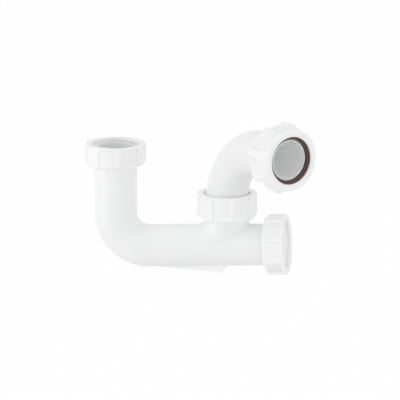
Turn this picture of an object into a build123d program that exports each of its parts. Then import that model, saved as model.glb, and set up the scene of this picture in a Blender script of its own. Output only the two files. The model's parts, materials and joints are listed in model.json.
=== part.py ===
from build123d import *
import math
import os

os.makedirs("parts", exist_ok=True)

# Tube of the trap body
tube_radius = 22.0
tube_wall = 2.6
bend_radius = 34.0
run_drop = 109.0
run_rise = 3.0
branch_offset = 117.0
spigot_start = 60.0
spigot_taper = 0.4
crease_round = 4.0

# Gaps between pieces
face_gap = 0.1
turn_gap = 0.3
spigot_gap = 0.4
flange_gap = 0.6
thread_room = 0.9

# Inlet end of the body, measured down from the mouth of the inlet nut
neck_step = 1.0
inlet_collar_step = 0.1
inlet_collar_height = 3.0
inlet_washer_drop = 3.4
inlet_washer_height = 2.5
bead_step = 0.7
bead_height = 2.6

# Ribbed nuts of the inlet, the swivel and the cleaning eye
lip_room = 2.6
lip_ledge = 1.0
lip_height = 3.2
nut_wall = 3.0
nut_rib_depth = 1.9
nut_rib_width = 3.6
nut_rib_flare = 0.55
nut_rib_count = 8
nut_rim_height = 1.3
nut_end_chamfer = 3.4
nut_edge_round = 0.5
inlet_nut_height = 21.9
inlet_nut_floor = 3.5
inlet_thread_depth = 1.5
inlet_mouth_relief = 0.5
inlet_mouth_depth = 3.2
inlet_rib_phase = -72.2
swivel_nut_height = 26.0
swivel_nut_drop = 47.4
swivel_rib_phase = -68.6
eye_nut_height = 21.5
eye_nut_face = 180.4
eye_rib_phase = -21.7

# Collars, washers and flanges of the swivel and the cleaning eye
branch_collar_step = 1.2
branch_collar_height = 4.0
eye_collar_step = 0.8
eye_collar_height = 3.0
flange_height = 3.0
washer_height = 2.5
plug_cup_depth = 6.0
plug_wall = 2.4

# Foot under the run
foot_start = 36.0
foot_length = 78.5
foot_width = 20.0
foot_toe_sink = 4.6
foot_drop = 130.2
foot_corner = 2.5

# Outlet elbow
elbow_step = 0.5
elbow_wall = 2.8
elbow_bend = 64.0
elbow_rise = 6.3
elbow_heading = -43.7
spigot_step = 0.5
spigot_length = 13.6
socket_drop = 4.0
socket_depth = 22.0
socket_bore = 19.3
socket_rim = 0.5
socket_stop_length = 12.0
socket_thread_length = 18.0
socket_cone_length = 6.0
socket_cone_step = 1.5
flare_back = 45.0
flare_length = 13.0
flare_step = 3.6

# Compression nut, slip ring and seal
outlet_face = 110.2
outlet_nut_height = 31.0
outlet_lip_room = 5.3
outlet_lip_ledge = 2.2
outlet_lip_height = 1.6
outlet_rear_step = 1.0
outlet_rim_step = 1.2
outlet_rim_height = 5.0
outlet_shoulder_step = 2.0
outlet_shoulder_back = 2.5
outlet_face_bevel = 1.6
outlet_rib_depth = 4.1
outlet_rib_width = 7.6
outlet_rib_flare = 0.4
outlet_rib_ramp = 9.0
outlet_rib_nose = 5.2
outlet_rib_end = 25.0
outlet_rib_phase = -14.0
slip_ring_step = 1.0
slip_ring_height = 0.8
seal_room = 2.0
seal_lip_height = 1.3

# Radii that follow from the tube
bore_radius = tube_radius - tube_wall
inlet_neck_radius = tube_radius - neck_step
inlet_collar_radius = tube_radius + inlet_collar_step
inlet_thread_radius = inlet_collar_radius + inlet_thread_depth
inlet_mouth_radius = inlet_thread_radius + inlet_mouth_relief
bead_radius = tube_radius + bead_step
branch_collar_radius = tube_radius + branch_collar_step
eye_collar_radius = tube_radius + eye_collar_step
lip_radius = tube_radius + lip_room
joint_thread_radius = lip_radius + lip_ledge
joint_bore = joint_thread_radius + thread_room
flange_radius = joint_bore - flange_gap
nut_panel_radius = joint_bore + nut_wall
nut_rib_radius = nut_panel_radius + nut_rib_depth
elbow_radius = tube_radius - elbow_step
elbow_bore = elbow_radius - elbow_wall
spigot_radius = elbow_radius - spigot_step

# Radii that follow from the outlet socket
socket_nose_radius = socket_bore + socket_rim
outlet_lip_radius = socket_bore + outlet_lip_room
socket_thread_radius = outlet_lip_radius + outlet_lip_ledge
socket_cone_radius = socket_thread_radius - socket_cone_step
flare_radius = elbow_radius + flare_step
outlet_bore = socket_thread_radius + thread_room
outlet_panel_radius = outlet_bore + nut_wall
outlet_rear_radius = outlet_panel_radius - outlet_rear_step
outlet_rim_radius = outlet_panel_radius + outlet_rim_step
outlet_rib_radius = outlet_rim_radius + outlet_rib_depth
slip_ring_bore = outlet_lip_radius - slip_ring_step
seal_bore = socket_bore + seal_room
ring_radius = outlet_bore - turn_gap


def turned(points):
    """Solid of revolution about Z from (radius, height) points."""
    outline = Polyline(*points, close=True)
    return revolve(Plane.XZ * make_face(outline), axis=Axis.Z)


def tube(path, radius):
    """Round bar along a path."""
    section = Plane(origin=path @ 0, z_dir=path % 0) * Circle(radius)
    return sweep(section, path=path)


def bar_on(plane, radius, start, end):
    """Round bar on a plane's axis between two distances."""
    bar = Cylinder(radius, end - start, align=(Align.CENTER, Align.CENTER, Align.MIN))
    return plane * Pos(0, 0, start) * bar


def ribs(width, depth, flare, phase, top_radius, height):
    """Radial bars with sloping flanks, as tall as the nut."""
    half = width / 2
    deep = depth + half
    near = half + deep * flare
    far = half - half * flare
    outline = Polyline(
        (top_radius - deep, -near),
        (top_radius + half, -far),
        (top_radius + half, far),
        (top_radius - deep, near),
        close=True,
    )
    rib = extrude(make_face(outline), height)
    turns = [phase + 360 / nut_rib_count * i for i in range(nut_rib_count)]
    return [Rot(0, 0, turn) * rib for turn in turns]


def nut_outside(height, phase):
    """Ribbed outside of a small nut, from its chamfered end at 0 to its rim."""
    small = nut_panel_radius - nut_end_chamfer / 2
    ring = turned([
        (0, 0),
        (small, 0),
        (nut_panel_radius, nut_end_chamfer / 2),
        (nut_panel_radius, height),
        (0, height),
    ])
    start = nut_rib_radius - nut_end_chamfer
    envelope = turned([
        (0, 0),
        (start, 0),
        (nut_rib_radius, nut_end_chamfer),
        (nut_rib_radius, height - nut_edge_round),
        (nut_rib_radius - nut_edge_round, height),
        (0, height),
    ])
    rim_start = height - nut_rim_height
    rim = turned([
        (0, rim_start - nut_rib_depth),
        (nut_panel_radius, rim_start - nut_rib_depth),
        (nut_rib_radius, rim_start),
        (nut_rib_radius, height - nut_edge_round),
        (nut_rib_radius - nut_edge_round, height),
        (0, height),
    ])
    bars = ribs(nut_rib_width, nut_rib_depth, nut_rib_flare, phase, nut_rib_radius, height)
    bars = [envelope & rib for rib in bars]
    return ring + bars + rim


def joint_nut(height, phase):
    """Nut with a plain lip at its rim end and the thread bore below it."""
    hollow = turned([
        (0, -1),
        (joint_bore, -1),
        (joint_bore, height - lip_height),
        (lip_radius, height - lip_height),
        (lip_radius, height + 1),
        (0, height + 1),
    ])
    return nut_outside(height, phase) - hollow


# Axes and planes
rise = math.radians(run_rise)
corner = Vector(0, 0, -run_drop)
run_way = Vector(math.cos(rise), 0, math.sin(rise))
run_plane = Plane(origin=corner, x_dir=(0, -1, 0), z_dir=run_way)
branch_foot = corner + run_way * (branch_offset / math.cos(rise))
branch_plane = Plane(origin=(branch_offset, 0, 0))
heading = math.radians(elbow_heading)
outlet_way = Vector(math.cos(heading), math.sin(heading), 0)
outlet_plane = Plane(origin=(branch_offset, 0, elbow_rise), x_dir=(0, 0, 1), z_dir=outlet_way)

# Levels in the swivel joint
lip_under = -swivel_nut_drop - lip_height
collar_top = lip_under - face_gap
collar_under = collar_top - flange_height
branch_top = collar_under - washer_height
swivel_nut_bottom = -swivel_nut_drop - swivel_nut_height
branch_thread_bottom = swivel_nut_bottom + face_gap * 6

# Distances in the cleaning eye
eye_lip_inside = eye_nut_face - lip_height
plug_face = eye_lip_inside - face_gap
plug_under = plug_face - flange_height
eye_end = plug_under - washer_height
eye_nut_start = eye_nut_face - eye_nut_height
eye_thread_start = eye_nut_start + face_gap * 6
eye_collar_start = eye_thread_start - eye_collar_height

# Levels at the inlet
inlet_top = -inlet_washer_drop - inlet_washer_height
neck_top = inlet_top - inlet_collar_height
bead_top = -inlet_nut_height - face_gap
bead_bottom = bead_top - bead_height

# Trap body
water_path = FilletPolyline(
    (0, 0, bead_bottom),
    corner,
    branch_foot,
    (branch_offset, 0, branch_top),
    radius=bend_radius,
)
bore_path = FilletPolyline(
    (0, 0, bead_bottom),
    corner,
    branch_foot,
    (branch_offset, 0, branch_top + 5),
    radius=bend_radius,
)
inlet_end = turned([
    (0, bead_bottom - 1),
    (tube_radius, bead_bottom - 1),
    (tube_radius, bead_bottom),
    (bead_radius, bead_bottom + (bead_radius - tube_radius)),
    (bead_radius, bead_top),
    (inlet_neck_radius, bead_top),
    (inlet_neck_radius, neck_top),
    (inlet_collar_radius, neck_top),
    (inlet_collar_radius, inlet_top),
    (0, inlet_top),
])
branch_collar_bottom = branch_thread_bottom - branch_collar_height
foot_end = foot_start + foot_length
foot_side = Polyline(
    (foot_start, -run_drop),
    (foot_start, -run_drop - tube_radius + foot_toe_sink),
    (foot_end, -foot_drop),
    (foot_end, -run_drop),
    close=True,
)
foot = extrude(Plane.XZ * make_face(foot_side), foot_width / 2, both=True)
foot_heel = foot.edges().filter_by(Axis.Y).sort_by(Axis.Z)[0]
foot = fillet(foot_heel, foot_corner)
outside = tube(water_path, tube_radius)
outside += bar_on(run_plane, tube_radius - spigot_taper, spigot_start, eye_end)
crease = outside.edges().filter_by(GeomType.BSPLINE)
outside = fillet(crease, crease_round)
outside += inlet_end
outside += bar_on(branch_plane, branch_collar_radius, branch_collar_bottom, branch_thread_bottom)
outside += bar_on(branch_plane, joint_thread_radius, branch_thread_bottom, branch_top)
outside += bar_on(run_plane, eye_collar_radius, eye_collar_start, eye_thread_start)
outside += bar_on(run_plane, joint_thread_radius, eye_thread_start, eye_end)
outside += foot
spigot_bottom = collar_under - spigot_length
counterbore = bar_on(branch_plane, spigot_radius + spigot_gap, spigot_bottom - spigot_gap, branch_top + 5)
trap_body = outside - tube(bore_path, bore_radius)
trap_body -= bar_on(run_plane, bore_radius - spigot_taper, spigot_start, eye_end + 5)
trap_body -= counterbore
trap_body -= bar_on(Plane.XY, bore_radius, bead_bottom - 1, 5)

# Inlet nut and washer
inlet_hollow = turned([
    (0, -inlet_nut_height - 1),
    (inlet_neck_radius + spigot_gap, -inlet_nut_height - 1),
    (inlet_neck_radius + spigot_gap, -inlet_nut_height + inlet_nut_floor),
    (inlet_thread_radius, -inlet_nut_height + inlet_nut_floor),
    (inlet_thread_radius, -inlet_mouth_depth),
    (inlet_mouth_radius, -inlet_mouth_depth),
    (inlet_mouth_radius, 1),
    (0, 1),
])
inlet_nut = Pos(0, 0, -inlet_nut_height) * nut_outside(inlet_nut_height, inlet_rib_phase) - inlet_hollow
inlet_washer = turned([
    (bore_radius, inlet_top),
    (inlet_collar_radius, inlet_top),
    (inlet_collar_radius, -inlet_washer_drop),
    (bore_radius, -inlet_washer_drop),
])

# Swivel nut and washer
swivel_nut = branch_plane * Pos(0, 0, swivel_nut_bottom) * joint_nut(swivel_nut_height, swivel_rib_phase)
swivel_washer = branch_plane * turned([
    (spigot_radius + spigot_gap, branch_top),
    (flange_radius, branch_top),
    (flange_radius, collar_under),
    (spigot_radius + spigot_gap, collar_under),
])

# Outlet elbow
socket_mouth = outlet_face - socket_drop
thread_end = socket_mouth - socket_cone_length
thread_start = thread_end - socket_thread_length
flare_start = outlet_face - flare_back
bend_low = elbow_rise - elbow_bend


def on_bend(turn):
    """Point of the elbow's middle line after some degrees of the bend."""
    out = elbow_bend * (1 - math.cos(math.radians(turn)))
    height = bend_low + elbow_bend * math.sin(math.radians(turn))
    return Vector(branch_offset, 0, height) + outlet_way * out


bend = ThreePointArc(on_bend(0), on_bend(45), on_bend(90))
arm = Line(on_bend(90), outlet_plane.origin + outlet_way * thread_end)
elbow_path = Wire([bend, arm])
socket = outlet_plane * turned([
    (0, flare_start),
    (elbow_radius, flare_start),
    (flare_radius, flare_start + flare_length),
    (flare_radius, thread_start),
    (socket_thread_radius, thread_start),
    (socket_thread_radius, thread_end),
    (socket_cone_radius, thread_end),
    (socket_nose_radius, socket_mouth),
    (0, socket_mouth),
])
below_collar = bar_on(branch_plane, flange_radius, spigot_bottom, collar_under)
outlet_elbow = tube(elbow_path, elbow_radius) - below_collar + socket
outlet_elbow += bar_on(branch_plane, flange_radius, collar_under, collar_top)
outlet_elbow += bar_on(branch_plane, spigot_radius, spigot_bottom, collar_under)
outlet_elbow -= tube(elbow_path, elbow_bore)
bore_top = max(collar_under, bend_low)
outlet_elbow -= bar_on(branch_plane, bore_radius, spigot_bottom - 1, bore_top)
socket_floor = socket_mouth - socket_depth
outlet_elbow -= outlet_plane * turned([
    (0, socket_floor - socket_stop_length),
    (elbow_bore - face_gap, socket_floor - socket_stop_length),
    (socket_bore, socket_floor),
    (socket_bore, socket_mouth + 1),
    (0, socket_mouth + 1),
])

# Compression nut
outlet_rear = outlet_face - outlet_nut_height
rim_back = outlet_nut_height - outlet_rim_height
outlet_ring = turned([
    (0, 0),
    (outlet_rear_radius, 0),
    (outlet_panel_radius + outlet_shoulder_step, rim_back - outlet_shoulder_back),
    (outlet_rim_radius, rim_back),
    (outlet_rim_radius, outlet_nut_height - outlet_face_bevel),
    (outlet_rim_radius - outlet_face_bevel * 2, outlet_nut_height),
    (0, outlet_nut_height),
])
outlet_envelope = turned([
    (0, 0),
    (outlet_rear_radius, 0),
    (outlet_rib_radius, outlet_rib_ramp),
    (outlet_rib_radius, outlet_rib_end - outlet_rib_nose),
    (outlet_rim_radius, outlet_rib_end),
    (0, outlet_rib_end),
])
outlet_bars = ribs(
    outlet_rib_width,
    outlet_rib_depth + outlet_rim_step + outlet_rear_step,
    outlet_rib_flare,
    outlet_rib_phase,
    outlet_rib_radius,
    outlet_nut_height,
)
outlet_hollow = turned([
    (0, -1),
    (outlet_bore, -1),
    (outlet_bore, outlet_nut_height - outlet_lip_height),
    (outlet_lip_radius, outlet_nut_height - outlet_lip_height),
    (outlet_lip_radius, outlet_nut_height + 1),
    (0, outlet_nut_height + 1),
])
outlet_nut = outlet_ring + [outlet_envelope & bar for bar in outlet_bars] - outlet_hollow
outlet_nut = outlet_plane * Pos(0, 0, outlet_rear) * outlet_nut

# Slip ring and seal
slip_top = outlet_face - outlet_lip_height - face_gap
slip_under = slip_top - slip_ring_height
seal_top = slip_under - face_gap
seal_lip = seal_top - seal_lip_height
seal_back = thread_end + turn_gap
outlet_slip_ring = outlet_plane * turned([
    (slip_ring_bore, slip_under),
    (ring_radius, slip_under),
    (ring_radius, slip_top),
    (slip_ring_bore, slip_top),
])
outlet_seal = outlet_plane * turned([
    (seal_bore, seal_lip),
    (socket_cone_radius + turn_gap, seal_back),
    (ring_radius, seal_back),
    (ring_radius, seal_top),
    (seal_bore + seal_lip_height, seal_top),
])

# Cleaning eye nut, plug and washer
eye_nut = run_plane * Pos(0, 0, eye_nut_start) * joint_nut(eye_nut_height, eye_rib_phase)
cup_radius = bore_radius - spigot_taper - turn_gap
plug_floor = plug_face - plug_wall
eye_plug = run_plane * turned([
    (0, plug_floor),
    (cup_radius - plug_wall, plug_floor),
    (cup_radius - plug_wall, plug_under - plug_cup_depth),
    (cup_radius, plug_under - plug_cup_depth),
    (cup_radius, plug_under),
    (flange_radius, plug_under),
    (flange_radius, plug_face),
    (0, plug_face),
])
eye_washer = run_plane * turned([
    (bore_radius, eye_end),
    (flange_radius, eye_end),
    (flange_radius, plug_under),
    (bore_radius, plug_under),
])

export_step(trap_body, "parts/trap_body.step")
export_step(inlet_nut, "parts/inlet_nut.step")
export_step(inlet_washer, "parts/inlet_washer.step")
export_step(swivel_nut, "parts/swivel_nut.step")
export_step(swivel_washer, "parts/swivel_washer.step")
export_step(outlet_elbow, "parts/outlet_elbow.step")
export_step(outlet_nut, "parts/outlet_nut.step")
export_step(outlet_slip_ring, "parts/outlet_slip_ring.step")
export_step(outlet_seal, "parts/outlet_seal.step")
export_step(eye_nut, "parts/cleaning_eye_nut.step")
export_step(eye_plug, "parts/cleaning_eye_plug.step")
export_step(eye_washer, "parts/cleaning_eye_washer.step")
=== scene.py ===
import json
import math

import bpy
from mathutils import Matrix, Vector


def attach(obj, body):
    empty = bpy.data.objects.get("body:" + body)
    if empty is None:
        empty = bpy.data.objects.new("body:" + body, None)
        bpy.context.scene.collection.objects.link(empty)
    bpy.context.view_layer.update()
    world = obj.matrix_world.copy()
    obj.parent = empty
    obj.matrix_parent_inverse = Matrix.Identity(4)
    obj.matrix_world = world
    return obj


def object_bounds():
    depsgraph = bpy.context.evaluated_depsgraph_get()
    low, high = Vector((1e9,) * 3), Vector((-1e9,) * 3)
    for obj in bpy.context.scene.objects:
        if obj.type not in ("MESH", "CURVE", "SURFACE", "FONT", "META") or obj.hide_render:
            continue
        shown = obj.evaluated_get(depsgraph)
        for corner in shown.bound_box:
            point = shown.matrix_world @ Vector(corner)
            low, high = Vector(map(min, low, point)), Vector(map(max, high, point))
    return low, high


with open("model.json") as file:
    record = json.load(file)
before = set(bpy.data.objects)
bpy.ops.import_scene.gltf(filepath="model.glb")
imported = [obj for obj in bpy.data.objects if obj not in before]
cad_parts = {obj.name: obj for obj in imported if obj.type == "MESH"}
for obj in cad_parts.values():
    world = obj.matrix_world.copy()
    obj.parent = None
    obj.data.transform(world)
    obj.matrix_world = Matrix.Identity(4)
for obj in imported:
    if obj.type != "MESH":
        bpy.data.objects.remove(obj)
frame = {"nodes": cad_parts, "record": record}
cad_low, cad_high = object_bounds()

# Camera, from the photograph
IMAGE_PIXELS = 400
AZIMUTH = math.radians(10.5)
ELEVATION = math.radians(13.3)
DISTANCE = 4.5
METRES_PER_PIXEL = 0.001033
MOUTH_PIXEL = (115.5, 143.1)
SENSOR = 36.0
CLIP_END = 50.0

# Floor: the trap hangs from its inlet, clear of the floor
FLOOR_SIZE = 12.0
FLOOR_GAP = 0.45
FLOOR_GLOW = 0.975
FLOOR_COLOUR = (0.9, 0.9, 0.9, 1.0)
FLOOR_ROUGHNESS = 0.9

# Light: a soft world, a key on the left and a small fill before the outlet
ZENITH_LEVEL = 0.855
HORIZON_LEVEL = 0.71
KEY_WATTS = 7.2
KEY_PLACE = Vector((-1.6, -0.85, 0.25))
KEY_SIZE = 1.0
FILL_WATTS = 0.4
FILL_PLACE = Vector((0.44, -0.36, 0.05))
FILL_SIZE = 0.25
LIGHT_BOUNCES = 16

# Colours
WHITE = (0.95, 0.953, 0.956)
WASHER_WHITE = (0.93, 0.93, 0.93)
RUBBER_BLACK = (0.06, 0.058, 0.058)
RING_RED = (0.26, 0.07, 0.06)

# Light that passes into the white plastic: its share and its depth
NUT_GLOW = 0.3
NUT_GLOW_DEPTH = 0.004
BODY_GLOW = 0.3
ELBOW_GLOW = 0.7
WALL_GLOW_DEPTH = 0.005

# Mottle and grain that all the materials share
CLOUD_SCALE = 40.0
CLOUD_DETAIL = 3.0
CLOUD_LOW = 0.3
CLOUD_HIGH = 0.7
ROUGHNESS_BELOW = 0.05
ROUGHNESS_ABOVE = 0.07
GRAIN_DETAIL = 2.0
GRAIN_STRENGTH = 0.15

# Screw threads: the profile is in shares of the pitch
PITCH = 0.002309
FLANK_END = 0.38
CREST_END = 0.1
SINK = 0.00015
STEPS_PER_TURN = 72
RUNOUT_TURNS = 0.2
LEAST_GROWTH = 0.02
SHARP_ANGLE = math.radians(30)


def material(name, colour, roughness, grain, grain_depth, mottle, glow=0.0, glow_depth=0.001):
    """Moulded material: faint colour mottle, roughness variation and surface grain."""
    made = bpy.data.materials.new(name)
    made.use_nodes = True
    nodes, links = made.node_tree.nodes, made.node_tree.links
    shader = nodes["Principled BSDF"]
    shader.inputs["Subsurface Weight"].default_value = glow
    shader.inputs["Subsurface Radius"].default_value = (1.0, 1.0, 1.0)
    shader.inputs["Subsurface Scale"].default_value = glow_depth
    place = nodes.new("ShaderNodeTexCoord")
    cloud = nodes.new("ShaderNodeTexNoise")
    cloud.inputs["Scale"].default_value = CLOUD_SCALE
    cloud.inputs["Detail"].default_value = CLOUD_DETAIL
    links.new(place.outputs["Object"], cloud.inputs["Vector"])
    ramp = nodes.new("ShaderNodeValToRGB")
    darker = [c * (1.0 - mottle) for c in colour]
    ramp.color_ramp.elements[0].position = CLOUD_LOW
    ramp.color_ramp.elements[0].color = (*darker, 1.0)
    ramp.color_ramp.elements[1].position = CLOUD_HIGH
    ramp.color_ramp.elements[1].color = (*colour, 1.0)
    links.new(cloud.outputs["Fac"], ramp.inputs["Fac"])
    links.new(ramp.outputs["Color"], shader.inputs["Base Color"])
    gloss = nodes.new("ShaderNodeMapRange")
    gloss.inputs["To Min"].default_value = roughness - ROUGHNESS_BELOW
    gloss.inputs["To Max"].default_value = roughness + ROUGHNESS_ABOVE
    links.new(cloud.outputs["Fac"], gloss.inputs["Value"])
    links.new(gloss.outputs["Result"], shader.inputs["Roughness"])
    fine = nodes.new("ShaderNodeTexNoise")
    fine.inputs["Scale"].default_value = grain
    fine.inputs["Detail"].default_value = GRAIN_DETAIL
    links.new(place.outputs["Object"], fine.inputs["Vector"])
    bump = nodes.new("ShaderNodeBump")
    bump.inputs["Strength"].default_value = GRAIN_STRENGTH
    bump.inputs["Distance"].default_value = grain_depth
    links.new(fine.outputs["Fac"], bump.inputs["Height"])
    links.new(bump.outputs["Normal"], shader.inputs["Normal"])
    return made


def white(name, glow, glow_depth):
    """White moulded plastic with its own share of light that passes into it."""
    return material(name, WHITE, roughness=0.36, grain=900.0, grain_depth=0.00006, mottle=0.02,
                    glow=glow, glow_depth=glow_depth)


looks = {
    "white_plastic": white("white_plastic", NUT_GLOW, NUT_GLOW_DEPTH),
    "pale_washer": material("pale_washer", WASHER_WHITE, roughness=0.5, grain=1200.0,
                            grain_depth=0.0001, mottle=0.06),
    "dark_rubber": material("dark_rubber", RUBBER_BLACK, roughness=0.55, grain=1500.0,
                            grain_depth=0.0001, mottle=0.25),
    "red_plastic": material("red_plastic", RING_RED, roughness=0.5, grain=1500.0,
                            grain_depth=0.0001, mottle=0.2),
}
wall_looks = {
    "trap_body": white("white_body", BODY_GLOW, WALL_GLOW_DEPTH),
    "outlet_elbow": white("white_elbow", ELBOW_GLOW, WALL_GLOW_DEPTH),
}
slots = {row["node"]: row["material_slot"] for row in frame["record"]["subparts"]}
for name, thing in frame["nodes"].items():
    thing.data.materials.clear()
    thing.data.materials.append(wall_looks.get(name) or looks[slots[name]])

joints = {row["name"]: row for row in frame["record"]["behaviour"]["joints"]}


def thread(name, joint, body, wall, crest, start, end):
    """Helical ridge on the axis of a joint, from its wall radius to its crest radius."""
    row = joints[joint]
    axis = Vector(row["axis"]).normalized()
    side = axis.orthogonal().normalized()
    over = axis.cross(side)
    centre = Vector(row["pos_m"])
    outward = 1.0 if crest > wall else -1.0
    foot = wall - outward * SINK
    turns = (end - start) / PITCH
    count = int(turns * STEPS_PER_TURN)
    points, faces = [], []
    for i in range(count + 1):
        turn = i / STEPS_PER_TURN
        grown = min(1.0, turn / RUNOUT_TURNS, (turns - turn) / RUNOUT_TURNS)
        top = foot + (crest - foot) * max(grown, LEAST_GROWTH)
        angle = 2 * math.pi * turn
        way = side * math.cos(angle) + over * math.sin(angle)
        along = start + turn * PITCH
        profile = ((foot, -FLANK_END), (top, -CREST_END), (top, CREST_END), (foot, FLANK_END))
        for radius, shift in profile:
            points.append(centre + way * radius + axis * (along + shift * PITCH))
    for i in range(count):
        for k in range(4):
            a, b = 4 * i + k, 4 * i + (k + 1) % 4
            quad = (a, b, b + 4, a + 4)
            faces.append(quad if outward > 0 else quad[::-1])
    ends = [(3, 2, 1, 0), tuple(4 * count + k for k in range(4))]
    faces += ends if outward > 0 else [face[::-1] for face in ends]
    mesh = bpy.data.meshes.new(name)
    mesh.from_pydata(points, [], faces)
    mesh.polygons.foreach_set("use_smooth", [True] * len(mesh.polygons))
    mesh.set_sharp_from_angle(angle=SHARP_ANGLE)
    piece = bpy.data.objects.new(name, mesh)
    bpy.context.scene.collection.objects.link(piece)
    mesh.materials.append(looks["white_plastic"])
    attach(piece, body)


thread("inlet_nut_thread", "inlet_nut_turn", "inlet_nut",
       wall=0.0241, crest=0.0232, start=-0.0062, end=0.0082)
thread("outlet_socket_thread", "outlet_nut_turn", "outlet_elbow",
       wall=0.0268, crest=0.0275, start=-0.0115, end=0.0042)
thread("cleaning_spigot_thread", "eye_nut_turn", "trap_body",
       wall=0.0256, crest=0.0263, start=-0.0085, end=0.0015)

# Floor
floor_level = cad_low[2] - FLOOR_GAP
bpy.ops.mesh.primitive_plane_add(size=FLOOR_SIZE, location=(0, 0, floor_level))
floor = bpy.context.object
floor.name = "floor"


def seen_white(nodes, links):
    """1 for rays that show the background: camera, glossy and transmission rays."""
    path = nodes.new("ShaderNodeLightPath")
    first = nodes.new("ShaderNodeMath")
    first.operation = "MAXIMUM"
    links.new(path.outputs["Is Camera Ray"], first.inputs[0])
    links.new(path.outputs["Is Glossy Ray"], first.inputs[1])
    both = nodes.new("ShaderNodeMath")
    both.operation = "MAXIMUM"
    links.new(first.outputs[0], both.inputs[0])
    links.new(path.outputs["Is Transmission Ray"], both.inputs[1])
    return both.outputs[0]


floor_look = bpy.data.materials.new("floor")
floor_look.use_nodes = True
nodes, links = floor_look.node_tree.nodes, floor_look.node_tree.links
plain = nodes["Principled BSDF"]
plain.inputs["Base Color"].default_value = FLOOR_COLOUR
plain.inputs["Roughness"].default_value = FLOOR_ROUGHNESS
plain.inputs["Specular IOR Level"].default_value = 0.0
glow = nodes.new("ShaderNodeEmission")
glow.inputs["Strength"].default_value = 1.0
share = nodes.new("ShaderNodeMath")
share.operation = "MULTIPLY"
share.inputs[1].default_value = FLOOR_GLOW
links.new(seen_white(nodes, links), share.inputs[0])
mix = nodes.new("ShaderNodeMixShader")
links.new(share.outputs[0], mix.inputs[0])
links.new(plain.outputs[0], mix.inputs[1])
links.new(glow.outputs[0], mix.inputs[2])
links.new(mix.outputs[0], nodes["Material Output"].inputs["Surface"])
floor.data.materials.append(floor_look)

# World, which fades from the zenith to the horizon
world = bpy.data.worlds.new("studio")
bpy.context.scene.world = world
world.use_nodes = True
nodes, links = world.node_tree.nodes, world.node_tree.links
sky = nodes["Background"]
sky.inputs["Color"].default_value = (1.0, 1.0, 1.0, 1.0)
direction = nodes.new("ShaderNodeTexCoord")
height = nodes.new("ShaderNodeSeparateXYZ")
links.new(direction.outputs["Generated"], height.inputs[0])
fade = nodes.new("ShaderNodeMapRange")
fade.inputs["To Min"].default_value = HORIZON_LEVEL
fade.inputs["To Max"].default_value = ZENITH_LEVEL
links.new(height.outputs["Z"], fade.inputs["Value"])
level = nodes.new("ShaderNodeMapRange")
level.inputs["To Max"].default_value = 1.0
links.new(fade.outputs["Result"], level.inputs["To Min"])
links.new(seen_white(nodes, links), level.inputs["Value"])
links.new(level.outputs["Result"], sky.inputs["Strength"])


def lamp(name, place, aim, size, watts):
    """Square soft lamp at place, pointing at aim."""
    light = bpy.data.lights.new(name, "AREA")
    light.size = size
    light.energy = watts
    thing = bpy.data.objects.new(name, light)
    bpy.context.scene.collection.objects.link(thing)
    thing.location = place
    thing.rotation_euler = (Vector(aim) - Vector(place)).to_track_quat("-Z", "Y").to_euler()


middle = (cad_low + cad_high) / 2
lamp("key", middle + KEY_PLACE, middle, KEY_SIZE, KEY_WATTS)
lamp("fill", middle + FILL_PLACE, middle, FILL_SIZE, FILL_WATTS)

# Camera, aimed so that the inlet's mouth falls on its pixel
back = Vector((
    math.sin(AZIMUTH) * math.cos(ELEVATION),
    -math.cos(AZIMUTH) * math.cos(ELEVATION),
    math.sin(ELEVATION),
))
right = Vector((math.cos(AZIMUTH), math.sin(AZIMUTH), 0.0))
up = back.cross(right)
half_frame = IMAGE_PIXELS / 2
aim = right * (half_frame - MOUTH_PIXEL[0]) * METRES_PER_PIXEL
aim -= up * (half_frame - MOUTH_PIXEL[1]) * METRES_PER_PIXEL
camera = bpy.data.cameras.new("camera")
camera.sensor_width = SENSOR
camera.lens = SENSOR * DISTANCE / (IMAGE_PIXELS * METRES_PER_PIXEL)
camera.clip_end = CLIP_END
viewer = bpy.data.objects.new("camera", camera)
bpy.context.scene.collection.objects.link(viewer)
viewer.location = aim + back * DISTANCE
viewer.rotation_euler = (-back).to_track_quat("-Z", "Y").to_euler()
bpy.context.scene.camera = viewer
bpy.context.scene.view_settings.view_transform = "Standard"

# Enough bounces to light the inside of the white tubes
bpy.context.scene.cycles.max_bounces = LIGHT_BOUNCES
bpy.context.scene.cycles.diffuse_bounces = LIGHT_BOUNCES
